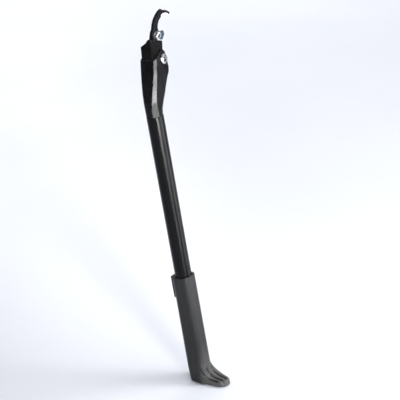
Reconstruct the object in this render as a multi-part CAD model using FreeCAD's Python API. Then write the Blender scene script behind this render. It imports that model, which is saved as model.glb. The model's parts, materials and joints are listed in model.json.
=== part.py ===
"""Adjustable bicycle kickstand with an axle hook, built node by node.

Row frame, millimetres: +X towards the back of the bicycle, +Y towards the
wheel, +Z up. The origin is the centre of the axle hook. Two tilted working
frames are used, each with x along the row's X, y outboard and z downwards:
the bracket frame, which leans with the bicycle, and the leg frame, which is
centred on the fold pivot and points down the leg.
"""
import FreeCAD
import Part
import math
import os

V = FreeCAD.Vector

# ---- driving dimensions, mm and degrees ----
BIKE_LEAN = 9.0          # bicycle leaning onto the stand
LEG_LEAN = 11.0          # leg leaning outboard going down
PIVOT = V(-7.8, 2.965, -34.43)
FLOOR_Z = -368.0

PLATE_T = 2.6            # hook plate thickness
HOOK_R = 8.8             # radius left for the axle nut
LINER_R = 10.3           # back of the liner, inside the claw
CLAW_R = 12.2            # outer radius of the claw
BLADE_R = 15.8           # outer radius on the blade side
BOLT_X = -10.0           # clamp bolt position in the bracket frame
BOLT_W = 9.6
BOLT_R = 2.0             # M4
BOLT_HEAD_R = 3.5
BOLT_HEAD_H = 3.4
FOOT_R = 5.7             # round lower end of the hook plate

KNUCKLE_H = 6.0          # half width of the knuckle between the cheeks
BOSS_R = 6.6             # round lower end of the knuckle
SLOT_H = 6.3             # half width of the slot between the cheeks
PIVOT_R = 3.0            # M6 pivot bolt
BUSH_R = 4.5
CHEEK_H = 9.4            # half width over the cheeks
RIM_BEVEL = 0.9          # along the outboard cheek's front rim
WEB_X = -8.4             # back of the front web
WEB_TOP = -1.2           # the web's upper edge, where the knuckle stops
SLOT_FLOOR = 9.5

TUBE_X = -16.0           # tube axis in the leg frame
TUBE_R = 8.5
TUBE_IN_R = 4.8
SPIGOT_R = 6.0
SPIGOT_TOP = 38.0
TUBE_TOP = 52.2
TUBE_END = 302.0
FLUTE_R = 1.0

SLEEVE_TOP = 219.6
SLEEVE_BORE_R = 8.8
GUIDE_R = 8.58
POCKET_V = -9.7          # floor of the lever's pocket
SLEEVE_SOLID = 327.0     # where the sleeve's bore stops
STEP = 10.0              # height step
STEPS_UP = 2
STEPS_DOWN = 4
LOCK_W = 236.0
LOCK_R = 2.0
ROCK_ROOM = 1.0          # the tilted pin's tip reaches past the last notch
SLEEVE_HALF = 10.0       # half width of the sleeve at its top
SLEEVE_HALF_LOW = 10.3   # and at its foot
SLEEVE_CORNER = 6.5
LEVER_V = -11.6          # lever axle in the leg frame
LEVER_W = 229.6

DETENT = V(-0.32, 0.0, 0.947)   # plunger line from the pivot, leg frame
PLUNGER_R = 2.5
PLUNGER_TIP = 6.75
PLUNGER_END = 14.5
SPRING_END = 25.0
DETENT_TURN = 90.0


def save(shape, node):
    """Write one node as a single clean solid."""
    shape = shape.removeSplitter()
    if len(shape.Solids) == 1:
        shape = shape.Solids[0]
    shape.exportStep("parts/" + node + ".step")
    print(node, len(shape.Solids), shape.isValid(), round(shape.Volume, 1))


def in_bracket(shape):
    """From the bracket frame to the row frame."""
    s = shape.copy()
    s.rotate(V(0, 0, 0), V(1, 0, 0), 180.0 + BIKE_LEAN)
    return s


def in_leg(shape):
    """From the leg frame to the row frame."""
    s = shape.copy()
    s.rotate(V(0, 0, 0), V(1, 0, 0), 180.0 - LEG_LEAN)
    s.translate(PIVOT)
    return s


def cyl(x, z, r, y0, y1):
    """Cylinder along the outboard axis."""
    return Part.makeCylinder(r, y1 - y0, V(x, y0, z), V(0, 1, 0))


def post(x, y, r, z0, z1):
    """Cylinder along the leg."""
    return Part.makeCylinder(r, z1 - z0, V(x, y, z0), V(0, 0, 1))


def block(x0, x1, y0, y1, z0, z1):
    return Part.makeBox(x1 - x0, y1 - y0, z1 - z0, V(x0, y0, z0))


def plate(points, y0, y1):
    """Side-view outline, given as x and z, extruded outboard."""
    pts = [V(x, y0, z) for x, z in points]
    face = Part.Face(Part.makePolygon(pts + [pts[0]]))
    return face.extrude(V(0, y1 - y0, 0))


def front_plate(points, x0, x1):
    """Front-view outline, given as y and z, extruded along X."""
    pts = [V(x0, y, z) for y, z in points]
    face = Part.Face(Part.makePolygon(pts + [pts[0]]))
    return face.extrude(V(x1 - x0, 0, 0))


def polar(r, deg):
    """Side-view point at a radius; 0 points back, 90 points down."""
    return (r * math.cos(math.radians(deg)), r * math.sin(math.radians(deg)))


def hexagon(across_flats, y0, y1, x, z):
    r = across_flats / 2.0 / math.cos(math.radians(30))
    return plate([(x + px, z + pz) for px, pz in
                  [polar(r, 60 * i + 30) for i in range(6)]], y0, y1)


def ring_sector(r0, r1, a0, a1, y0, y1):
    """Part of a ring round the hook centre, as true arcs."""
    def at(r, a):
        px, pz = polar(r, a)
        return V(px, y0, pz)
    mid = (a0 + a1) / 2.0
    outer = Part.Arc(at(r1, a0), at(r1, mid), at(r1, a1)).toShape()
    inner = Part.Arc(at(r0, a1), at(r0, mid), at(r0, a0)).toShape()
    end1 = Part.makeLine(at(r1, a1), at(r0, a1))
    end0 = Part.makeLine(at(r0, a0), at(r1, a0))
    face = Part.Face(Part.Wire([outer, end1, inner, end0]))
    return face.extrude(V(0, y1 - y0, 0))


def rounded_box_wire(x0, x1, hy, r, z, bevel=None):
    """Rounded rectangle at one z; a bevel replaces the front outboard arc."""
    f = r if bevel is None else bevel
    g = r if bevel is None else min(r, 1.2 + 0.8 * (r - 1.0))
    k = r * (1 - math.sqrt(0.5))
    kg = g * (1 - math.sqrt(0.5))
    p = [V(x0 + g, -hy, z), V(x1 - r, -hy, z), V(x1, -hy + r, z),
         V(x1, hy - r, z), V(x1 - r, hy, z), V(x0 + f, hy, z),
         V(x0, hy - f, z), V(x0, -hy + g, z)]
    mids = [V(x1 - k, -hy + k, z), V(x1 - k, hy - k, z),
            V(x0 + k, hy - k, z), V(x0 + kg, -hy + kg, z)]
    edges = []
    for i in range(4):
        edges.append(Part.makeLine(p[2 * i], p[2 * i + 1]))
        start = p[2 * i + 1]
        end = p[(2 * i + 2) % 8]
        if bevel is not None and i == 2:
            edges.append(Part.makeLine(start, end))
        else:
            edges.append(Part.Arc(start, mids[i], end).toShape())
    return Part.Wire(edges)


# ---------------- hook group, bracket frame ----------------

def hook_plate_form():
    """Thin claw over the axle nut, wide blade in front, round foot."""
    h = PLATE_T / 2.0
    claw = ring_sector(LINER_R, CLAW_R, 236, 318, -h, h)
    blade = ring_sector(HOOK_R, BLADE_R, 160, 240, -h, h)
    peak = plate([polar(HOOK_R + 0.2, 238), polar(BLADE_R, 238),
                  polar(BLADE_R - 0.2, 250), polar(CLAW_R, 262),
                  polar(LINER_R + 0.1, 262), polar(LINER_R + 0.1, 238)],
                 -h, h)
    neck = plate([polar(BLADE_R, 179), polar(HOOK_R - 0.5, 179),
                  polar(HOOK_R - 0.5, 140), polar(HOOK_R - 0.5, 112),
                  (BOLT_X + FOOT_R - 0.2, 10.6), (BOLT_X, BOLT_W + 2),
                  (BOLT_X - FOOT_R, BOLT_W)], -h, h)
    foot = cyl(BOLT_X, BOLT_W, FOOT_R, -h, h)
    body = claw.fuse([blade, peak, neck, foot])
    body = body.cut(cyl(0, 0, HOOK_R, -h - 1, h + 1))
    body = body.cut(ring_sector(0.5, LINER_R, 236.2, 330, -h - 1, h + 1))
    return body.cut(cyl(BOLT_X, BOLT_W, BOLT_R + 0.15, -h - 1, h + 1))


def hook_plate():
    return in_bracket(hook_plate_form())


def hook_liner():
    """Light lining held inside the claw."""
    h = PLATE_T / 2.0
    band = ring_sector(HOOK_R, LINER_R - 0.01, 236.4, 314, -h, h)
    return in_bracket(band)


def lip_insert():
    """Coloured seat insert that closes the lower side of the hook."""
    h = PLATE_T / 2.0
    seat = plate([(-3.9, 8.0), (2.5, 8.0), (2.7, 9.7), (4.1, 11.2),
                  (2.3, 17.2), (-1.6, 16.4), (-3.9, 10.7)], -h, h)
    seat = seat.cut(cyl(0, 0, HOOK_R, -h - 1, h + 1))
    return in_bracket(seat.cut(hook_plate_form()))


def bolt_washer():
    h = PLATE_T / 2.0
    ring = cyl(BOLT_X, BOLT_W, 4.2, h, h + 0.5)
    return in_bracket(ring.cut(cyl(BOLT_X, BOLT_W, BOLT_R + 0.15, h, h + 1)))


def angle_bolt():
    """Hex socket bolt that holds the hook at its angle."""
    y0 = PLATE_T / 2.0 + 0.5
    head = cyl(BOLT_X, BOLT_W, BOLT_HEAD_R, y0, y0 + BOLT_HEAD_H)
    head = head.makeChamfer(0.4, [max(head.Edges,
                                      key=lambda e: e.CenterOfMass.y)])
    shank = cyl(BOLT_X, BOLT_W, BOLT_R, -4.4, y0 + 0.1)
    recess = hexagon(4.0, y0 + 0.8, y0 + BOLT_HEAD_H + 1, BOLT_X, BOLT_W)
    return in_bracket(head.fuse(shank).cut(recess))


def serrated_washer():
    """Toothed ring between the hook plate and the knuckle's tongue."""
    y1 = -PLATE_T / 2.0
    pts = []
    for i in range(24):
        px, pz = polar(4.6 if i % 2 else 4.2, 15 * i)
        pts.append((BOLT_X + px, BOLT_W + pz))
    ring = plate(pts, y1 - 0.7, y1)
    hole = cyl(BOLT_X, BOLT_W, BOLT_R + 0.15, y1 - 2, y1 + 1)
    return in_bracket(ring.cut(hole))


# ---------------- knuckle group ----------------

def knuckle():
    """Block between the cheeks, with a tongue up behind the hook plate."""
    side = plate([(-10.2, -20.8), (-11.9, -12.4), (-12.8, -4.6),
                  (-12.9, -1.6), (-8.6, -1.6), (-6.0, -0.4), (0, 0),
                  (6.6, 0), (5.9, -8.4), (7.5, -15.2), (7.7, -16.2)],
                 -KNUCKLE_H, KNUCKLE_H)
    boss = cyl(0, 0, BOSS_R, -KNUCKLE_H, KNUCKLE_H)
    front = front_plate([(-6, 8), (-6, -14.6), (0, -17.8), (3.2, -21.4),
                         (KNUCKLE_H, -21.4), (KNUCKLE_H, 8)], -20, 20)
    body = in_leg(side.fuse(boss).common(front))
    tongue = cyl(BOLT_X + 0.6, BOLT_W, 3.6, -4.2, -2.1)
    tongue = tongue.fuse(block(BOLT_X - 2.6, -1.5, -4.2, -2.1,
                               BOLT_W + 1.0, 19.0))
    tongue = tongue.cut(cyl(0, 0, HOOK_R + 1.0, -6, 0))
    tongue = tongue.cut(block(-20, BOLT_X - 2.6, -6, 0, 0, 25))
    body = body.fuse(in_bracket(tongue))
    clear = cyl(BOLT_X, BOLT_W, FOOT_R + 0.35, -2.1, 6.0)
    clear = clear.fuse(plate([(-5.0, 5.0), (6.0, 5.0), (6.0, 18.0),
                              (-2.0, 16.9), (-5.0, 14.5)], -2.1, 6.0))
    body = body.cut(in_bracket(clear))
    body = body.cut(in_bracket(cyl(BOLT_X, BOLT_W, 2.45, -9, 0)))
    body = body.cut(in_leg(cyl(0, 0, BUSH_R, -8, 8)))
    for y0 in (-6.1, 5.2):
        body = body.cut(in_leg(cyl(0, 0, BOSS_R + 3, y0, y0 + 0.9)
                               .common(block(-9, 9, -7, 7, -6.4, 9))))
    for turn in (0.0, DETENT_TURN):
        a = math.radians(turn)
        dx = DETENT.x * math.cos(a) + DETENT.z * math.sin(a)
        dz = -DETENT.x * math.sin(a) + DETENT.z * math.cos(a)
        dimple = Part.makeSphere(2.6, V(dx * 8.4, 0, dz * 8.4))
        body = body.cut(in_leg(dimple))
    return body


def thread_insert():
    """Steel insert in the tongue that the bolt screws into."""
    ring = cyl(BOLT_X, BOLT_W, 2.45, -4.3, -2.2)
    bore = cyl(BOLT_X, BOLT_W, BOLT_R + 0.05, -6, 0)
    return in_bracket(ring.cut(bore))


def pivot_bush():
    ring = cyl(0, 0, BUSH_R, -5.2, 5.2)
    return in_leg(ring.cut(cyl(0, 0, PIVOT_R + 0.06, -6, 6)))


# ---------------- leg group, leg frame ----------------

def fork_housing():
    """Two cheeks and a front web running down into a tube socket."""
    stations = [(-10.0, -10.2, 4.4, 9.4, 1.0, 1.6),
                (-1.0, -12.4, 5.9, 9.4, 1.3, 2.2),
                (9.0, -15.2, 7.8, 9.4, 2.2, 2.3),
                (13.5, -16.3, 7.1, 9.4, 2.6, 2.4),
                (18.0, -17.7, 4.3, 9.2, 3.2, 2.6),
                (25.0, -19.8, 1.4, 8.9, 4.5, 2.8),
                (32.0, -21.8, -1.0, 8.5, 5.6, 3.1),
                (38.0, -23.0, -3.8, 8.2, 6.6, 3.6),
                (46.0, -23.7, -7.2, 8.0, 7.6, 4.3),
                (52.0, -23.9, -8.0, 7.9, 7.8, 4.6)]
    wires = [rounded_box_wire(x0, x1, hy, r, z, c)
             for z, x0, x1, hy, r, c in stations]
    body = Part.makeLoft(wires, True, True)
    rim = plate([(-30, -1.2), (-12.0, -1.2), (-8.3, -3.9), (-2.5, -7.6),
                 (0.2, -8.9), (2.0, -8.6), (3.8, -6.9), (4.9, -4.4),
                 (5.3, -2.0), (30, -2.0), (30, -20), (-30, -20)], -12, 12)
    body = body.cut(rim)
    edges = [e for e in body.Edges
             if abs(e.CenterOfMass.y - CHEEK_H) < 0.05
             and e.CenterOfMass.z < -2.0 and e.CenterOfMass.x < 1.0]
    body = body.makeChamfer(RIM_BEVEL, edges)
    body = body.cut(block(WEB_X, 30, -SLOT_H, SLOT_H, -30, SLOT_FLOOR))
    body = body.cut(block(-30, 30, -SLOT_H, SLOT_H, -30, WEB_TOP))
    body = body.cut(post(TUBE_X, 0, SPIGOT_R + 0.02, SPIGOT_TOP - 0.5, 60))
    body = body.cut(cyl(0, 0, PIVOT_R + 0.05, -12, 12))
    start = DETENT * 7.0
    bore = Part.makeCylinder(PLUNGER_R + 0.08, SPRING_END + 1.5 - 7.0,
                             start, DETENT)
    body = body.cut(bore)
    for z in (42.5, 48.0):
        body = body.cut(cyl(TUBE_X, z, 1.0, -12, 0))
    return in_leg(body)


def pivot_bolt():
    """Bright button-head bolt through both cheeks."""
    shank = cyl(0, 0, PIVOT_R, -12.9, CHEEK_H + 0.1)
    head = cyl(0, 0, 4.7, CHEEK_H, CHEEK_H + 2.2)
    head = head.makeChamfer(0.9, [max(head.Edges,
                                      key=lambda e: e.CenterOfMass.y)])
    recess = hexagon(4.0, CHEEK_H + 0.5, CHEEK_H + 4, 0, 0)
    return in_leg(head.fuse(shank).cut(recess))


def pivot_nut():
    body = hexagon(9.0, -CHEEK_H - 2.4, -CHEEK_H, 0, 0)
    collar = cyl(0, 0, 4.1, -CHEEK_H - 3.2, -CHEEK_H - 2.4)
    bore = cyl(0, 0, PIVOT_R + 0.01, -20, 0)
    return in_leg(body.fuse(collar).cut(bore))


def pivot_washer(side):
    y0 = 5.35 if side > 0 else -SLOT_H
    ring = cyl(0, 0, 6.0, y0, y0 + 0.95)
    return in_leg(ring.cut(cyl(0, 0, PIVOT_R + 0.05, y0 - 1, y0 + 2)))


def spring_seat():
    """Short plug at the closed end of the plunger's bore."""
    disc = Part.makeCylinder(PLUNGER_R, 1.4, DETENT * SPRING_END, DETENT)
    stub = Part.makeCylinder(1.1, 2.0, DETENT * (SPRING_END - 2.0), DETENT)
    return in_leg(disc.fuse(stub))


def detent_spring():
    """Round-wire compression spring between the plunger and its seat."""
    z0 = PLUNGER_END + 0.3
    length = SPRING_END - 0.3 - z0
    helix = Part.makeHelix(length / 5.0, length, 1.8)
    wire = Part.Wire(helix.Edges)
    ring = Part.Wire([Part.makeCircle(0.3, V(1.8, 0, 0), V(0, 1, 0))])
    coil = wire.makePipeShell([ring], True, True)
    turn = FreeCAD.Rotation(V(0, 0, 1), DETENT)
    coil.Placement = FreeCAD.Placement(DETENT * z0, turn)
    return in_leg(coil)


def detent_plunger():
    """Round-nosed plunger that rides on the knuckle's boss."""
    nose = Part.makeSphere(PLUNGER_R, DETENT * (PLUNGER_TIP + PLUNGER_R))
    body = Part.makeCylinder(PLUNGER_R,
                             PLUNGER_END - PLUNGER_TIP - PLUNGER_R,
                             DETENT * (PLUNGER_TIP + PLUNGER_R), DETENT)
    return in_leg(nose.fuse(body))


def leg_tube():
    """Fluted tube with a turned spigot and a slot for the height lock."""
    body = post(TUBE_X, 0, TUBE_R, TUBE_TOP, TUBE_END)
    body = body.fuse(post(TUBE_X, 0, SPIGOT_R, SPIGOT_TOP, TUBE_TOP))
    body = body.cut(post(TUBE_X, 0, TUBE_IN_R, SPIGOT_TOP - 1, TUBE_END + 1))
    for deg in (64, 116, 230, 310):
        fx, fy = polar(TUBE_R + 0.35, deg)
        body = body.cut(post(TUBE_X + fx, fy, FLUTE_R,
                             TUBE_TOP + 4, TUBE_END + 1))
    z0 = LOCK_W - STEPS_UP * STEP
    z1 = LOCK_W + STEPS_DOWN * STEP
    w = LOCK_R + 0.2
    last = z1 + ROCK_ROOM
    body = body.cut(block(TUBE_X - w, TUBE_X + w, -12, -2, z0, last))
    body = body.cut(cyl(TUBE_X, last, LOCK_R + 0.7, -12, -2))
    for i in range(STEPS_UP + STEPS_DOWN + 1):
        body = body.cut(cyl(TUBE_X, z0 + i * STEP, LOCK_R + 0.7, -12, -2))
    for z in (42.5, 48.0):
        body = body.cut(cyl(TUBE_X, z, 1.0, -12, 0))
    return in_leg(body)


def tube_pin(z):
    """Cross pin driven in from the inboard side."""
    return in_leg(cyl(TUBE_X, z, 1.0, -7.8, -4.0))


def tube_plug():
    """Plug that closes the tube's end and guides it in the sleeve."""
    stem = post(TUBE_X, 0, TUBE_IN_R, TUBE_END - 12, TUBE_END)
    cap = post(TUBE_X, 0, SLEEVE_BORE_R - 0.08, TUBE_END, TUBE_END + 3)
    return in_leg(stem.fuse(cap))


# ---------------- foot group, leg frame ----------------

def level_cut(shape, z):
    """Keep what is above a level of the row frame."""
    return shape.common(Part.makeBox(400, 400, 420, V(-200, -300, z)))


def toe_ridge(x_root, x_toe, reach):
    """One toe: a ridge bending out of the sleeve to a round end."""
    root = V(x_root, -64.5, FLOOR_Z + 17.0)
    bend = V((x_root * 2 + x_toe) / 3.0, -69.0, FLOOR_Z + 9.0)
    toe = V(x_toe, -61.9 - reach, FLOOR_Z + 4.2)
    down = bend - root
    along = toe - bend
    ridge = Part.makeCone(3.4, 4.6, down.Length, root, down)
    ridge = ridge.fuse(Part.makeSphere(4.6, bend))
    ridge = ridge.fuse(Part.makeCone(4.6, 4.3, along.Length, bend, along))
    return ridge.fuse(Part.makeSphere(4.3, toe))


def foot_outline(inset, z):
    """Outline of the pad as a smooth closed curve at a level."""
    cx = -21.0
    cy = -70.0
    pts = []
    base = [(-32.0, -55.0), (-31.4, -66.0), (-29.6, -77.0), (-27.2, -85.6),
            (-22.0, -91.4), (-15.0, -92.6), (-11.2, -89.0), (-10.2, -81.0),
            (-11.8, -72.0), (-13.6, -63.0), (-14.6, -56.0), (-19.0, -50.8),
            (-28.0, -50.8)]
    for x, y in base:
        d = math.hypot(x - cx, y - cy)
        k = (d - inset) / d
        pts.append(V(cx + (x - cx) * k, cy + (y - cy) * k, z))
    curve = Part.BSplineCurve()
    curve.interpolate(pts, PeriodicFlag=True)
    return Part.Wire(curve.toShape())


def sleeve_form():
    """The sleeve's outer form alone, leg frame."""
    top = rounded_box_wire(TUBE_X - SLEEVE_HALF, TUBE_X + SLEEVE_HALF,
                           SLEEVE_HALF, SLEEVE_CORNER, SLEEVE_TOP)
    mid = rounded_box_wire(TUBE_X - SLEEVE_HALF_LOW,
                           TUBE_X + SLEEVE_HALF_LOW,
                           SLEEVE_HALF_LOW, SLEEVE_CORNER, 322.0)
    low = rounded_box_wire(TUBE_X - SLEEVE_HALF_LOW + 1.8,
                           TUBE_X + SLEEVE_HALF_LOW,
                           SLEEVE_HALF_LOW + 0.5, SLEEVE_CORNER, 345.0)
    return Part.makeLoft([top, mid, low], True, True)


def foot_sleeve():
    """Moulded sleeve that slides on the tube and ends in a toed foot."""
    pad = Part.makeLoft([foot_outline(1.2, FLOOR_Z + 0.6),
                         foot_outline(0.2, FLOOR_Z + 2.4),
                         foot_outline(2.2, FLOOR_Z + 6.0)], True, False)
    body = in_leg(sleeve_form()).fuse(pad)
    for x_root, x_toe, reach in ((-27.0, -25.6, 21.4), (-22.6, -20.8, 24.6),
                                 (-18.6, -15.4, 25.6)):
        body = body.fuse(toe_ridge(x_root, x_toe, reach))
    body = level_cut(body, FLOOR_Z + 0.6)
    under = Part.Face(foot_outline(3.0, FLOOR_Z)).extrude(V(0, 0, 2.0))
    body = body.cut(under)
    bore = post(TUBE_X, 0, SLEEVE_BORE_R, SLEEVE_TOP + 14, SLEEVE_SOLID)
    bore = bore.fuse(post(TUBE_X, 0, GUIDE_R, SLEEVE_TOP - 1,
                          SLEEVE_TOP + 15))
    pocket = block(TUBE_X - 3.8, TUBE_X + 3.8, -12, POCKET_V, 221.8, 242.2)
    window = block(TUBE_X - 2.6, TUBE_X + 2.6, -12, -2, 233.0, 241.0)
    return body.cut(in_leg(bore)).cut(in_leg(pocket)).cut(in_leg(window))


def sole_pad():
    """Grippy insert under the foot, the face that meets the ground."""
    return Part.Face(foot_outline(3.1, FLOOR_Z)).extrude(V(0, 0, 1.9))


def lever_housing():
    """Raised frame on the inboard side that holds the release lever."""
    body = block(TUBE_X - 5.2, TUBE_X + 5.2, -12.5, -8.0, 220.2, 243.6)
    pocket = block(TUBE_X - 3.8, TUBE_X + 3.8, -15, -7, 221.8, 242.2)
    axle = Part.makeCylinder(0.72, 14.0, V(TUBE_X - 7.0, LEVER_V, LEVER_W),
                             V(1, 0, 0))
    return in_leg(body.cut(pocket).cut(sleeve_form()).cut(axle))


def lever_axle():
    axle = Part.makeCylinder(0.7, 10.0, V(TUBE_X - 5.0, LEVER_V, LEVER_W),
                             V(1, 0, 0))
    return in_leg(axle)


def adjust_lever():
    """Rocking paddle: pressing its top lifts the lock pin out."""
    paddle = block(TUBE_X - 3.5, TUBE_X + 3.5, -13.0, -11.3, 222.6, 241.4)
    hub = Part.makeCylinder(1.4, 7.0, V(TUBE_X - 3.5, LEVER_V, LEVER_W),
                            V(1, 0, 0))
    body = paddle.fuse(hub)
    hole = Part.makeCylinder(0.76, 20, V(TUBE_X - 10, LEVER_V, LEVER_W),
                             V(1, 0, 0))
    body = body.cut(hole)
    for i in range(3):
        body = body.cut(block(TUBE_X - 4, TUBE_X + 4, -13.2, -12.7,
                              223.4 + 1.6 * i, 224.1 + 1.6 * i))
    body = body.cut(cyl(TUBE_X, LOCK_W, 1.2, -16, -10))
    return in_leg(body)


def lock_pin():
    """Steel pin carried by the lever, standing in the tube's slot."""
    pin = cyl(TUBE_X, LOCK_W, LOCK_R, -11.3, -5.8)
    return in_leg(pin.fuse(cyl(TUBE_X, LOCK_W, 1.2, -12.8, -11.3)))


def lever_spring():
    """Small coil under the top of the lever."""
    helix = Part.makeHelix(0.5, 1.0, 1.3)
    ring = Part.Wire([Part.makeCircle(0.2, V(1.3, 0, 0), V(0, 1, 0))])
    coil = Part.Wire(helix.Edges).makePipeShell([ring], True, True)
    turn = FreeCAD.Rotation(V(0, 0, 1), V(0, -1, 0))
    coil.Placement = FreeCAD.Placement(V(TUBE_X, POCKET_V - 0.25, 225.2), turn)
    return in_leg(coil)


def main():
    os.makedirs("parts", exist_ok=True)
    save(hook_plate(), "hook_plate")
    save(hook_liner(), "hook_liner")
    save(lip_insert(), "lip_insert")
    save(bolt_washer(), "bolt_washer")
    save(angle_bolt(), "angle_bolt")
    save(serrated_washer(), "serrated_washer")
    save(knuckle(), "knuckle")
    save(thread_insert(), "thread_insert")
    save(pivot_bush(), "pivot_bush")
    save(fork_housing(), "fork_housing")
    save(pivot_bolt(), "pivot_bolt")
    save(pivot_nut(), "pivot_nut")
    save(pivot_washer(1), "washer_outer")
    save(pivot_washer(-1), "washer_inner")
    save(spring_seat(), "spring_seat")
    save(detent_spring(), "detent_spring")
    save(detent_plunger(), "detent_plunger")
    save(leg_tube(), "leg_tube")
    save(tube_pin(42.5), "tube_pin_upper")
    save(tube_pin(48.0), "tube_pin_lower")
    save(tube_plug(), "tube_plug")
    save(foot_sleeve(), "foot_sleeve")
    save(sole_pad(), "sole_pad")
    save(lever_housing(), "lever_housing")
    save(lever_axle(), "lever_axle")
    save(adjust_lever(), "adjust_lever")
    save(lock_pin(), "lock_pin")
    save(lever_spring(), "lever_spring")


main()
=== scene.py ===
"""Looks of the adjustable bicycle kickstand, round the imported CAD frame.

The row frame is the CAD's: +X towards the back of the bicycle, +Y inboard,
+Z up, in metres. Shapes modelled here are worked out in millimetres, most
of them in the leg frame, which runs from the fold pivot down the leg.
"""
import json
import math

import bpy
import numpy as np
from mathutils import Matrix, Vector


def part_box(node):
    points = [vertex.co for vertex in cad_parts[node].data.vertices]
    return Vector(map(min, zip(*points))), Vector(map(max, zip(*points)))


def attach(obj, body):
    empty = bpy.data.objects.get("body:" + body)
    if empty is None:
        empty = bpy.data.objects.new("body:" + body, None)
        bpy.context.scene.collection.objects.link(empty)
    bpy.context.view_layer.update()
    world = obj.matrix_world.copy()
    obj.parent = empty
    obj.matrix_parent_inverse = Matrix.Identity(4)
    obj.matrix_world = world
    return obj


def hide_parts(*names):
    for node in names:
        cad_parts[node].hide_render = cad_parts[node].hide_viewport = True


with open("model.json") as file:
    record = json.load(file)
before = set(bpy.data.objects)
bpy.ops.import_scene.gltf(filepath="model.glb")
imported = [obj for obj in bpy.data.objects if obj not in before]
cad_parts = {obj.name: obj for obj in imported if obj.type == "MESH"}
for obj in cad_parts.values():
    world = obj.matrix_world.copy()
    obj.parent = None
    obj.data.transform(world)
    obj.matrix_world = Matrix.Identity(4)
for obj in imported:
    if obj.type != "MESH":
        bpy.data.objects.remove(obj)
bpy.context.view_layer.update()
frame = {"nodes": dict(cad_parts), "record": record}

MM = 0.001

# ---- places read from the frame ----
record = frame["record"]
joints = {j["name"]: j for j in record["behaviour"]["joints"]}
PIVOT = np.array(joints["leg_fold"]["pos_m"]) / MM
LEG_AXES = np.array([[1.0, 0.0, 0.0],
                     joints["leg_fold"]["axis"],
                     joints["height_adjust"]["axis"]])
LEVER_AXLE = LEG_AXES @ (np.array(joints["lever_rock"]["pos_m"]) / MM - PIVOT)
FLOOR_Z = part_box("sole_pad")[0].z / MM


def leg_to_row(points):
    """Leg-frame points to the row frame, both in millimetres."""
    return np.asarray(points, float) @ LEG_AXES + PIVOT


def row_to_leg(points):
    return (np.asarray(points, float) - PIVOT) @ LEG_AXES.T


# ---------------------------------------------------------------- fields
# A field gives the signed distance from each point to a surface, negative
# inside. The soft unions below are what makes one moulding of them.

def soft_min(a, b, k):
    h = np.clip(0.5 + 0.5 * (b - a) / k, 0.0, 1.0)
    return b + (a - b) * h - k * h * (1.0 - h)


def soft_max(a, b, k):
    return -soft_min(-a, -b, k)


def rounded_square(x, y, half_x, half_y, corner):
    qx = np.abs(x) - half_x + corner
    qy = np.abs(y) - half_y + corner
    outside = np.hypot(np.maximum(qx, 0), np.maximum(qy, 0))
    return outside + np.minimum(np.maximum(qx, qy), 0) - corner


def cuboid(p, low, high):
    """Box between two corners; its edges are left sharp."""
    mid = (np.asarray(low) + np.asarray(high)) / 2.0
    half = (np.asarray(high) - np.asarray(low)) / 2.0
    q = np.abs(p - mid) - half
    outside = np.linalg.norm(np.maximum(q, 0), axis=1)
    return outside + np.minimum(q.max(axis=1), 0)


def outline_field(x, y, corners):
    """Signed distance to a closed polygon in a plane."""
    pts = np.asarray(corners, float)
    nearest = np.full(x.shape, 1e9)
    inside = np.zeros(x.shape, bool)
    for (ax, ay), (bx, by) in zip(pts, np.roll(pts, -1, axis=0)):
        ex, ey = bx - ax, by - ay
        t = np.clip(((x - ax) * ex + (y - ay) * ey) / (ex * ex + ey * ey),
                    0, 1)
        nearest = np.minimum(nearest, np.hypot(x - ax - t * ex,
                                               y - ay - t * ey))
        crosses = (ay > y) != (by > y)
        with np.errstate(divide="ignore", invalid="ignore"):
            at = ax + (y - ay) * ex / ey
        inside ^= crosses & (x < at)
    return np.where(inside, -nearest, nearest)


def limb(p, points, r_start, r_end, pieces=4):
    """Tapered round limb along a smooth line through the points."""
    pts = np.asarray(points, float)
    pts = np.vstack([2 * pts[0] - pts[1], pts, 2 * pts[-1] - pts[-2]])
    line = []
    for i in range(1, len(pts) - 2):
        a, b, c, d = pts[i - 1:i + 3]
        for j in range(pieces):
            t = j / pieces
            line.append(0.5 * (2 * b + (c - a) * t
                               + (2 * a - 5 * b + 4 * c - d) * t ** 2
                               + (3 * b - a - 3 * c + d) * t ** 3))
    line.append(pts[-2])
    field = np.full(len(p), 1e9)
    for i in range(len(line) - 1):
        along = line[i + 1] - line[i]
        t = np.clip((p - line[i]) @ along / (along @ along), 0, 1)
        near = np.linalg.norm(p - line[i] - t[:, None] * along, axis=1)
        r = r_start + (r_end - r_start) * (i + t) / (len(line) - 1)
        field = np.minimum(field, near - r)
    return field


# ---------------------------------------------------------------- meshing

def gradient(field, p, eps=0.02):
    g = np.empty_like(p)
    for a in range(3):
        step = np.zeros(3)
        step[a] = eps
        g[:, a] = (field(p + step) - field(p - step)) / (2 * eps)
    return g


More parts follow.
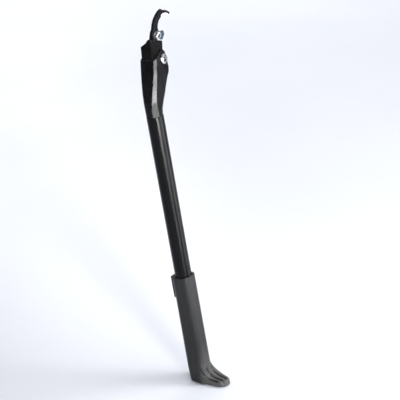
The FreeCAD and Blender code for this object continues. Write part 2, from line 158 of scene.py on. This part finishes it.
def skin(name, field, low, high, cell, to_row):
    """Closed quad mesh of a field's surface, one vertex to each grid cell
    that the surface passes through, settled onto the surface."""
    axes = [np.arange(a, b + cell, cell) for a, b in zip(low, high)]
    grid = np.stack(np.meshgrid(*axes, indexing="ij"), -1)
    value = field(grid.reshape(-1, 3)).reshape(grid.shape[:3])
    cells = [n - 1 for n in grid.shape[:3]]
    total = np.zeros(cells + [3])
    hits = np.zeros(cells)
    edges = []
    for a in range(3):
        b, c = (a + 1) % 3, (a + 2) % 3
        low_end = tuple(slice(0, -1) if i == a else slice(None)
                        for i in range(3))
        high_end = tuple(slice(1, None) if i == a else slice(None)
                         for i in range(3))
        v0, v1 = value[low_end], value[high_end]
        cross = (v0 < 0) != (v1 < 0)
        t = np.where(cross, v0 / np.where(cross, v0 - v1, 1.0), 0.0)
        at = grid[low_end].copy()
        at[..., a] += t * cell
        at *= cross[..., None]
        for j in (0, 1):
            for k in (0, 1):
                cut = [slice(None)] * 3
                cut[b] = slice(j, j + cells[b])
                cut[c] = slice(k, k + cells[c])
                total += at[tuple(cut)]
                hits += cross[tuple(cut)]
        edges.append((a, b, c, cross, v0 < 0))
    mixed = hits > 0
    index = np.full(cells, -1)
    index[mixed] = np.arange(mixed.sum())
    p = total[mixed] / hits[mixed][:, None]
    for _ in range(4):
        g = gradient(field, p)
        move = (field(p) / np.maximum((g * g).sum(1), 0.2))[:, None] * g
        size = np.linalg.norm(move, axis=1, keepdims=True)
        p -= move * np.minimum(1.0, 0.4 * cell / np.maximum(size, 1e-9))
    quads = []
    for a, b, c, cross, rising in edges:
        found = np.argwhere(cross)
        found = found[(found[:, b] > 0) & (found[:, b] < cells[b])
                      & (found[:, c] > 0) & (found[:, c] < cells[c])]
        up = rising[tuple(found.T)]
        ring = []
        for j, k in ((1, 1), (0, 1), (0, 0), (1, 0)):
            q = found.copy()
            q[:, b] -= j
            q[:, c] -= k
            ring.append(index[tuple(q.T)])
        ring = np.stack(ring, 1)
        ring[~up] = ring[~up][:, ::-1]
        quads.append(ring)
    mesh = bpy.data.meshes.new(name)
    mesh.from_pydata((to_row(p) * MM).tolist(), [],
                     np.concatenate(quads).tolist())
    mesh.polygons.foreach_set("use_smooth", [True] * len(mesh.polygons))
    mesh.update()
    obj = bpy.data.objects.new(name, mesh)
    bpy.context.scene.collection.objects.link(obj)
    return obj


# -------------------------------------------------------------- materials

class Nodes:
    """Short hand for building one material's node tree."""

    def __init__(self, name):
        self.material = bpy.data.materials.new(name)
        self.material.use_nodes = True
        self.tree = self.material.node_tree
        self.tree.nodes.clear()
        self.shader = self.add("ShaderNodeBsdfPrincipled")
        out = self.add("ShaderNodeOutputMaterial")
        self.link(self.shader.outputs["BSDF"], out.inputs["Surface"])
        self.coords = self.add("ShaderNodeTexCoord").outputs["Object"]

    def add(self, kind, **values):
        node = self.tree.nodes.new(kind)
        for key, value in values.items():
            setattr(node, key, value)
        return node

    def link(self, source, target):
        self.tree.links.new(source, target)

    def stretched(self, stretch, turn=(0, 0, 0)):
        """Object coordinates, squeezed along each axis."""
        mapping = self.add("ShaderNodeMapping")
        mapping.inputs["Scale"].default_value = stretch
        mapping.inputs["Rotation"].default_value = turn
        self.link(self.coords, mapping.inputs["Vector"])
        return mapping.outputs["Vector"]

    def noise(self, size_mm, detail=4.0, vector=None, rough=0.55):
        node = self.add("ShaderNodeTexNoise")
        node.inputs["Scale"].default_value = 1.0 / (size_mm * MM)
        node.inputs["Detail"].default_value = detail
        node.inputs["Roughness"].default_value = rough
        self.link(vector or self.coords, node.inputs["Vector"])
        return node.outputs["Fac"]

    def ramp(self, source, low, high, low_at=0.35, high_at=0.65):
        node = self.add("ShaderNodeValToRGB")
        for stop, at, colour in zip(node.color_ramp.elements,
                                    (low_at, high_at), (low, high)):
            stop.position = at
            stop.color = (*colour, 1.0)
        self.link(source, node.inputs["Fac"])
        return node.outputs["Color"]

    def range(self, source, low, high, low_at=0.3, high_at=0.7):
        node = self.add("ShaderNodeMapRange")
        node.inputs["From Min"].default_value = low_at
        node.inputs["From Max"].default_value = high_at
        node.inputs["To Min"].default_value = low
        node.inputs["To Max"].default_value = high
        self.link(source, node.inputs["Value"])
        return node.outputs["Result"]

    def mix(self, factor, a, b):
        node = self.add("ShaderNodeMix", data_type="RGBA")
        self.link(factor, node.inputs[0])
        self.link(a, node.inputs[6])
        self.link(b, node.inputs[7])
        return node.outputs[2]

    def bump(self, source, depth_mm, normal=None):
        node = self.add("ShaderNodeBump")
        node.inputs["Strength"].default_value = 1.0
        node.inputs["Distance"].default_value = depth_mm * MM
        self.link(source, node.inputs["Height"])
        if normal:
            self.link(normal, node.inputs["Normal"])
        return node.outputs["Normal"]

    def edges(self, radius_mm):
        """Near 1 along sharp outer edges, where a finish wears."""
        soft = self.add("ShaderNodeBevel", samples=6)
        soft.inputs["Radius"].default_value = radius_mm * MM
        plain = self.add("ShaderNodeNewGeometry")
        dot = self.add("ShaderNodeVectorMath", operation="DOT_PRODUCT")
        self.link(soft.outputs["Normal"], dot.inputs[0])
        self.link(plain.outputs["True Normal"], dot.inputs[1])
        return self.range(dot.outputs["Value"], 1.0, 0.0, 0.72, 0.95)

    def finish(self, colour, roughness, normal=None, **sockets):
        self.link(colour, self.shader.inputs["Base Color"])
        self.link(roughness, self.shader.inputs["Roughness"])
        if normal:
            self.link(normal, self.shader.inputs["Normal"])
        for key, value in sockets.items():
            name = key.replace("_", " ")
            self.shader.inputs[name].default_value = value
        return self.material


def tint(colour, factor):
    return tuple(min(1.0, c * factor) for c in colour)


def satin_black(name, colour, rough, grain_mm=0.35, level=0.22,
                worn=(0.03, 0.03, 0.032)):
    """Sprayed black over cast metal: orange peel, faint dust, rubbed edges."""
    n = Nodes(name)
    cloud = n.noise(9.0, 5.0)
    grain = n.noise(grain_mm, 3.0)
    base = n.ramp(cloud, tint(colour, 0.75), tint(colour, 1.35))
    rub = n.ramp(grain, worn, tint(worn, 1.6))
    wear = n.add("ShaderNodeMath", operation="MULTIPLY")
    n.link(n.edges(0.45), wear.inputs[0])
    n.link(n.range(n.noise(2.4, 4.0), 0.15, 0.85), wear.inputs[1])
    colour_out = n.mix(wear.outputs["Value"], base, rub)
    peel = n.bump(n.noise(0.9, 2.0), 0.006)
    normal = n.bump(grain, 0.008, peel)
    return n.finish(colour_out, n.range(cloud, rough - 0.05, rough + 0.06),
                    normal, Specular_IOR_Level=level)


# where the painted highlight on the toes fades in
TOE_HIGHLIGHT_FROM, TOE_HIGHLIGHT_TO = -63 * MM, -74 * MM    # places along Y, row frame


def painted_toe_highlight(n, colour, scuff_and_highlight):
    """Painted highlight: a lighter colour over the toes' open surfaces, kept
    out of the grooves, which stay dark as painted shade.
    """
    split = n.add("ShaderNodeSeparateXYZ")
    n.link(n.coords, split.inputs["Vector"])
    toes = n.range(split.outputs["Y"], 0.0, 1.0, TOE_HIGHLIGHT_FROM, TOE_HIGHLIGHT_TO)
    hidden = n.add("ShaderNodeAmbientOcclusion", samples=8)
    hidden.inputs["Distance"].default_value = 2.0 * MM
    open_part = n.range(hidden.outputs["AO"], 0.0, 1.0, 0.6, 0.95)
    toe_highlight_mask = n.add("ShaderNodeMath", operation="MULTIPLY")
    n.link(toes, toe_highlight_mask.inputs[0])
    n.link(open_part, toe_highlight_mask.inputs[1])
    fine = n.ramp(n.noise(0.8, 5.0), tint(scuff_and_highlight, 0.7), tint(scuff_and_highlight, 1.3))
    return n.mix(toe_highlight_mask.outputs["Value"], colour, fine)


def moulded(name, colour, rough, grain_mm=0.28, depth_mm=0.012,
            level=0.45, scuff_and_highlight=None):
    """Fine spark-eroded texture of a moulded part, with flow clouding."""
    n = Nodes(name)
    flow = lengthwise(n, 2.0)
    grain = n.noise(grain_mm, 3.0)
    mixed = n.ramp(flow, tint(colour, 0.72), tint(colour, 1.3))
    speck = n.ramp(grain, tint(colour, 0.8), tint(colour, 1.3))
    part = n.range(n.noise(1.2, 3.0), 0.15, 0.45)
    skin_colour = n.mix(part, mixed, speck)
    # the toes get a painted highlight, with painted shade left in their
    # grooves
    if scuff_and_highlight:
        skin_colour = painted_toe_highlight(n, skin_colour, scuff_and_highlight)
    return n.finish(skin_colour,
                    n.range(n.noise(3.0, 4.0), rough - 0.05, rough + 0.07),
                    n.bump(grain, depth_mm), Specular_IOR_Level=level)


def bright_metal(name, colour, rough, scratch_mm=0.35):
    """Plated or ground metal: fine scratches, with painted shade darkening its
    recesses.
    """
    n = Nodes(name)
    fine = n.noise(scratch_mm, 5.0, n.stretched((1.0, 0.15, 0.6)))
    patch = n.noise(3.0, 4.0)
    clean = n.ramp(patch, tint(colour, 0.72), colour, 0.3, 0.55)
    # painted shade: near-black colour laid into recesses and crevices through
    # the occlusion mask below
    recess_shade = n.ramp(fine, (0.006, 0.006, 0.007), (0.02, 0.019, 0.018))
    hidden = n.add("ShaderNodeAmbientOcclusion", samples=8)
    hidden.inputs["Distance"].default_value = 2.2 * MM
    open_part = n.range(hidden.outputs["AO"], 0.0, 1.0, 0.45, 0.80)
    return n.finish(n.mix(open_part, recess_shade, clean),
                    n.range(fine, rough - 0.05, rough + 0.12),
                    n.bump(fine, 0.004), Metallic=1.0)


def lengthwise(n, size_mm):
    """Fine lines that run down the leg."""
    lean = math.atan2(LEG_AXES[2][1], -LEG_AXES[2][2])
    return n.noise(size_mm, 3.0,
                   n.stretched((1.0, 1.0, 0.015), (lean, 0, 0)))


def anodised_tube(name, colour, rough):
    """Gloss black tube: lengthwise drawing lines under a clear finish."""
    n = Nodes(name)
    lines = lengthwise(n, 0.8)
    scuff_and_highlight = n.noise(5.0, 6.0, rough=0.7)
    colour_out = n.ramp(lines, tint(colour, 0.7), tint(colour, 1.5))
    rough_out = n.range(scuff_and_highlight, rough - 0.02, rough + 0.03)
    return n.finish(colour_out, rough_out, n.bump(lines, 0.0003),
                    Specular_IOR_Level=0.16)


def rubber(name, colour):
    n = Nodes(name)
    grain = n.noise(0.5, 4.0)
    dust = n.noise(6.0, 5.0)
    colour_out = n.ramp(dust, colour, tint(colour, 2.2), 0.4, 0.75)
    return n.finish(colour_out, n.range(grain, 0.72, 0.9),
                    n.bump(grain, 0.05), Specular_IOR_Level=0.3)


BLACK = (0.0032, 0.0032, 0.0038)
materials = {
    "hook_black": satin_black("hook_black_coat", (0.0026, 0.0024, 0.0036),
                              0.42, level=0.07),
    "knuckle_black": satin_black("knuckle_black_coat",
                                 (0.0028, 0.0026, 0.0028), 0.40,
                                 level=0.08),
    "housing_black": satin_black("housing_black_coat", BLACK, 0.29,
                                 level=0.17),
    "tube_black": anodised_tube("tube_black_gloss", (0.0024, 0.0024, 0.0028),
                                0.19),
    # the light colour given below is the painted highlight on the sleeve's
    # toes
    "sleeve_grey": moulded("sleeve_grey_nylon", (0.014, 0.014, 0.0142), 0.33,
                           level=0.28, scuff_and_highlight=(0.085, 0.083, 0.082)),
    "lever_black": moulded("lever_black_nylon", (0.030, 0.030, 0.032), 0.5),
    "plug_black": moulded("plug_black_acetal", (0.03, 0.03, 0.03), 0.5),
    "liner_light": moulded("liner_light_polymer", (0.58, 0.58, 0.57), 0.35,
                           depth_mm=0.01),
    "washer_nylon": moulded("washer_natural_nylon", (0.62, 0.60, 0.54),
                            0.45),
    "insert_teal": satin_black("insert_teal_coat", (0.008, 0.019, 0.030),
                               0.40, worn=(0.02, 0.035, 0.048)),
    "bolt_bright": bright_metal("bolt_bright_plate", (0.72, 0.72, 0.73),
                                0.26),
    "washer_bright": bright_metal("washer_bright_plate",
                                  (0.20, 0.20, 0.21), 0.36),
    "pivot_bright": bright_metal("pivot_bright_plate", (0.66, 0.66, 0.68),
                                 0.22),
    "washer_dark": bright_metal("washer_dark_steel", (0.24, 0.24, 0.25),
                                0.4),
    "insert_steel": bright_metal("insert_stainless", (0.55, 0.55, 0.56),
                                 0.35),
    "bush_bronze": bright_metal("bush_sintered_bronze", (0.55, 0.38, 0.18),
                                0.42),
    "nut_steel": bright_metal("nut_zinc", (0.62, 0.62, 0.60), 0.36),
    "seat_steel": bright_metal("seat_turned_steel", (0.5, 0.5, 0.5), 0.35),
    "spring_steel": bright_metal("spring_wire", (0.5, 0.5, 0.51), 0.3, 0.2),
    "plunger_steel": bright_metal("plunger_ground_steel",
                                  (0.6, 0.6, 0.62), 0.25),
    "pin_steel": bright_metal("pin_blackened", (0.12, 0.12, 0.125), 0.42),
    "lock_steel": bright_metal("lock_ground_steel", (0.6, 0.6, 0.62), 0.25),
    "sole_rubber": rubber("sole_rubber_black", (0.022, 0.022, 0.022)),
}

# ---------------------------------------------------- CAD pieces, dressed

slot_of = {s["node"]: s["material_slot"] for s in record["subparts"]}
# how far each piece's sharp edges are rounded, mm
ROUNDED = {
    "hook_plate": 0.35, "lip_insert": 0.25, "knuckle": 0.5,
    "fork_housing": 0.35, "lever_housing": 0.4, "adjust_lever": 0.3,
    "leg_tube": 0.15, "pivot_bolt": 0.2, "angle_bolt": 0.12,
    "pivot_nut": 0.2, "bolt_washer": 0.08, "serrated_washer": 0.05,
    "hook_liner": 0.2, "sole_pad": 0.3, "tube_plug": 0.2,
    "lock_pin": 0.15, "washer_outer": 0.08, "washer_inner": 0.08,
    "thread_insert": 0.1, "pivot_bush": 0.1, "spring_seat": 0.15,
}


def round_edges(obj, radius_mm):
    """Small radius on every sharp edge, as casting and tumbling leave."""
    weld = obj.modifiers.new("join_faces", "WELD")
    weld.merge_threshold = 0.002 * MM
    if radius_mm:
        bevel = obj.modifiers.new("edge_radius", "BEVEL")
        bevel.width = radius_mm * MM
        bevel.segments = 2
        bevel.limit_method = "ANGLE"
        bevel.angle_limit = math.radians(28)
        bevel.miter_outer = "MITER_ARC"
    normals = obj.modifiers.new("flat_faces_flat", "WEIGHTED_NORMAL")
    normals.keep_sharp = False
    normals.weight = 80
    mesh = obj.data
    mesh.polygons.foreach_set("use_smooth", [True] * len(mesh.polygons))


for node, obj in frame["nodes"].items():
    obj.data.materials.clear()
    obj.data.materials.append(materials[slot_of[node]])
    round_edges(obj, ROUNDED.get(node, 0.0))

# ------------------------------------------------------- the toed sleeve

TUBE_X = LEVER_AXLE[0]
SLEEVE_TOP = 219.6
SLEEVE_HALF = 10.0
SLEEVE_HALF_LOW = 10.3
SLEEVE_CORNER = 6.5
TAPER_FROM = 322.0
TAPER_TO = 345.0
GUIDE_R = 8.58
BORE_R = 8.8
POCKET_V = -9.7
GUIDE_END = 234.6
BORE_END = 327.0
HEEL_IN = 0.9            # the front side draws in below the taper
HEEL_OUT = 0.5           # and the sides swell
LEVER_POCKET = ((-3.8, -14.0, 221.8), (3.8, POCKET_V, 242.2))
PIN_WINDOW = ((-2.6, -14.0, 233.0), (2.6, -2.0, 241.0))
SOLE_GAP = 0.6
SOLE_DEEP = 2.0
SOLE_INSET = 3.05
PAD_TOP = 3.2
PAD_RISE = 13.0          # how much thicker the pad is at its root
PAD_ROOT = -62.0
PAD_FALL = 9.5
TOES_BELOW = 34.0        # the toes are worked out only below this height
SKIN_CELL = 0.62
# the pad seen from above, row frame
PAD = [(-31.8, -55.0), (-31.4, -62.0), (-30.9, -69.0), (-29.4, -77.0),
       (-27.6, -84.0), (-25.0, -88.6), (-21.6, -91.0), (-17.6, -92.3),
       (-14.2, -91.6), (-11.8, -88.6), (-10.9, -82.0), (-11.8, -73.0),
       (-13.4, -64.0), (-14.4, -56.0), (-18.0, -51.6), (-23.0, -50.6),
       (-28.0, -51.4)]
# toes: points along each (x, y, height over the floor), radii at its ends
TOES = [
    ([(-29.8, -65.2, 18.5), (-27.8, -68.0, 11.0), (-25.8, -75.4, 5.2),
      (-23.4, -84.6, 3.6)], 2.8, 2.8),
    ([(-22.6, -66.2, 17.2), (-20.9, -70.0, 10.6), (-20.2, -77.6, 5.8),
      (-19.3, -86.4, 4.0)], 2.9, 3.0),
    ([(-16.6, -66.0, 15.4), (-14.8, -70.4, 9.8), (-14.2, -77.8, 5.7),
      (-14.9, -86.4, 4.0)], 2.9, 3.2)]
# grooves beside and between them, along the surface
GROOVES = [
    [(-33.2, -65.9, 19.8), (-31.2, -68.1, 12.6), (-28.1, -74.9, 6.9),
     (-25.2, -82.3, 5.2)],
    [(-26.5, -68.4, 17.8), (-24.3, -71.2, 12.0), (-23.1, -77.2, 7.6),
     (-21.7, -85.0, 5.9)],
    [(-19.2, -68.9, 16.4), (-17.7, -72.9, 10.8), (-17.2, -79.4, 7.6),
     (-17.0, -87.0, 6.3)]]


def toed(row, sleeve, pad):
    """The sleeve's lower end with its toes and pad joined to it."""
    toes = None
    for points, r0, r1 in TOES:
        one = limb(row, np.add(points, (0, 0, FLOOR_Z)), r0, r1)
        toes = one if toes is None else soft_min(toes, one, 0.4)
    body = soft_min(soft_min(sleeve, toes, 2.6), pad, 1.6)
    for points in GROOVES:
        line = np.add(points, (0, 0, FLOOR_Z))
        body = soft_max(body, -limb(row, line, 0.6, 0.9), 0.9)
    return body


def sleeve_field(p):
    """The sleeve with its toed foot, in the leg frame."""
    x, v, w = p[:, 0] - TUBE_X, p[:, 1], p[:, 2]
    row = leg_to_row(p)
    height = row[:, 2] - FLOOR_Z
    run = np.clip((w - SLEEVE_TOP) / (TAPER_FROM - SLEEVE_TOP), 0, 1)
    half = SLEEVE_HALF + (SLEEVE_HALF_LOW - SLEEVE_HALF) * run
    drop = np.clip((w - TAPER_FROM) / (TAPER_TO - TAPER_FROM), 0, 1)
    outer = rounded_square(x - HEEL_IN * drop, v, half - HEEL_IN * drop,
                           half + HEEL_OUT * drop, SLEEVE_CORNER)
    low = outline_field(row[:, 0], row[:, 1], PAD)
    rise = np.exp(np.minimum(row[:, 1] - PAD_ROOT, 0) / PAD_FALL)
    top = PAD_TOP + PAD_RISE * rise
    pad = soft_max(low + 0.5, height - top, 2.0)
    body = outer.copy()
    low_part = height < TOES_BELOW
    body[low_part] = toed(row[low_part], outer[low_part], pad[low_part])
    body = soft_max(body, SOLE_GAP - height, 0.9)
    body = soft_max(body, SLEEVE_TOP - w, 0.7)
    bore_r = np.where(w < GUIDE_END, GUIDE_R, BORE_R)
    bore = np.maximum(np.hypot(x, v) - bore_r, w - BORE_END)
    body = soft_max(body, -bore, 0.4)
    under = np.maximum(low + SOLE_INSET, height - SOLE_DEEP)
    body = np.maximum(body, -under)
    q = np.stack([x, v, w], 1)
    pocket = cuboid(q, *LEVER_POCKET)
    window = cuboid(q, *PIN_WINDOW)
    return np.maximum(body, -np.minimum(pocket, window))


corners = np.array([[c.x, c.y, c.z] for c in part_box("foot_sleeve")]) / MM
around = np.array([[corners[i][0], corners[j][1], corners[k][2]]
                   for i in (0, 1) for j in (0, 1) for k in (0, 1)])
reach = row_to_leg(around)
foot = skin("foot_shell", sleeve_field,
            (reach[:, 0].min() - 2, -13.0, SLEEVE_TOP - 1.3),
            (reach[:, 0].max() + 2, reach[:, 1].max() + 2,
             reach[:, 2].max() + 2), SKIN_CELL, leg_to_row)
foot.data.materials.append(materials["sleeve_grey"])
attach(foot, "foot")
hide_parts("foot_sleeve")

# ---------------------------------------------------------- floor, lights

CENTRE = Vector((-0.02, -0.03, FLOOR_Z * MM / 2))
TUBE_MID = Vector((-0.02, -0.05, -0.195))
HOOK_FOOT = Vector((0, 0, -0.030))
BEHIND = Vector((1.9, 1.35, FLOOR_Z * MM))    # floor behind the object
FLOOR_HALF = 6.0
SKY_LOW = (0.10, 0.105, 0.115)
SKY_HIGH = (0.93, 0.955, 1.0)
SKY_STRENGTH = 0.43


def pale_floor():
    half = FLOOR_HALF
    mesh = bpy.data.meshes.new("floor")
    z = FLOOR_Z * MM
    mesh.from_pydata([(-half, -half, z), (half, -half, z), (half, half, z),
                      (-half, half, z)], [], [(0, 1, 2, 3)])
    floor = bpy.data.objects.new("floor", mesh)
    bpy.context.scene.collection.objects.link(floor)
    n = Nodes("floor_paper")
    tone = n.noise(400.0, 3.0)
    mesh.materials.append(n.finish(
        n.ramp(tone, (0.84, 0.86, 0.925), (0.87, 0.885, 0.94)),
        n.range(tone, 0.75, 0.85), Specular_IOR_Level=0.2))


def softbox(name, azimuth, elevation, distance, width, height, power,
            aim=CENTRE):
    """Soft area light, placed round the object and turned to it."""
    light = bpy.data.lights.new(name, "AREA")
    light.shape = "RECTANGLE"
    light.size = width
    light.size_y = height
    light.energy = power
    obj = bpy.data.objects.new(name, light)
    bpy.context.scene.collection.objects.link(obj)
    a, e = math.radians(azimuth), math.radians(elevation)
    away = Vector((math.cos(a) * math.cos(e), math.sin(a) * math.cos(e),
                   math.sin(e)))
    obj.location = aim + away * distance
    obj.rotation_euler = (-away).to_track_quat("-Z", "Y").to_euler()
    obj.visible_camera = False
    return obj


pale_floor()
softbox("side", 282, 6, 1.4, 0.7, 0.9, 12.0)
softbox("above", 312, 44, 1.1, 0.4, 0.4, 6.2)
softbox("far", 90, 90, 1.6, 2.6, 2.6, 38.0, BEHIND)
strip = softbox("strip", 238, 8, 0.9, 0.20, 0.42, 1.5, HOOK_FOOT)
strip.data.spread = math.radians(30)
softbox("line_near", 247, 0, 0.6, 0.03, 0.34, 0.7, TUBE_MID)
softbox("line_far", 303, 0, 0.6, 0.03, 0.34, 0.8, TUBE_MID)


def studio_sky():
    """Even light from above, falling to a dim horizon."""
    world = bpy.data.worlds.new("studio")
    world.use_nodes = True
    tree = world.node_tree
    back = tree.nodes["Background"]
    coords = tree.nodes.new("ShaderNodeTexCoord")
    split = tree.nodes.new("ShaderNodeSeparateXYZ")
    ramp = tree.nodes.new("ShaderNodeValToRGB")
    for stop, at, colour in zip(ramp.color_ramp.elements, (0.12, 0.62),
                                (SKY_LOW, SKY_HIGH)):
        stop.position = at
        stop.color = (*colour, 1.0)
    tree.links.new(coords.outputs["Generated"], split.inputs["Vector"])
    tree.links.new(split.outputs["Z"], ramp.inputs["Fac"])
    tree.links.new(ramp.outputs["Color"], back.inputs["Color"])
    back.inputs["Strength"].default_value = SKY_STRENGTH
    bpy.context.scene.world = world


studio_sky()
bpy.context.scene.view_settings.view_transform = "Standard"

# ------------------------------------------------------------------ camera

CAMERA_AT = (-0.7580, -0.55167, 0.23802)
RIGHT = Vector((0.5569, -0.8306, 0.0))
DOWN = Vector((-0.3419, -0.2294, -0.9113))
FORWARD = Vector((0.7569, 0.5075, -0.4117))
camera_data = bpy.data.cameras.new("camera")
camera_data.lens = 90.0
camera_data.sensor_width = 36.0
camera_data.clip_start = 0.05
camera = bpy.data.objects.new("camera", camera_data)
bpy.context.scene.collection.objects.link(camera)
place = Matrix((RIGHT, -DOWN, -FORWARD)).transposed().to_4x4()
place.translation = CAMERA_AT
camera.matrix_world = place
bpy.context.scene.camera = camera

bpy.context.view_layer.update()
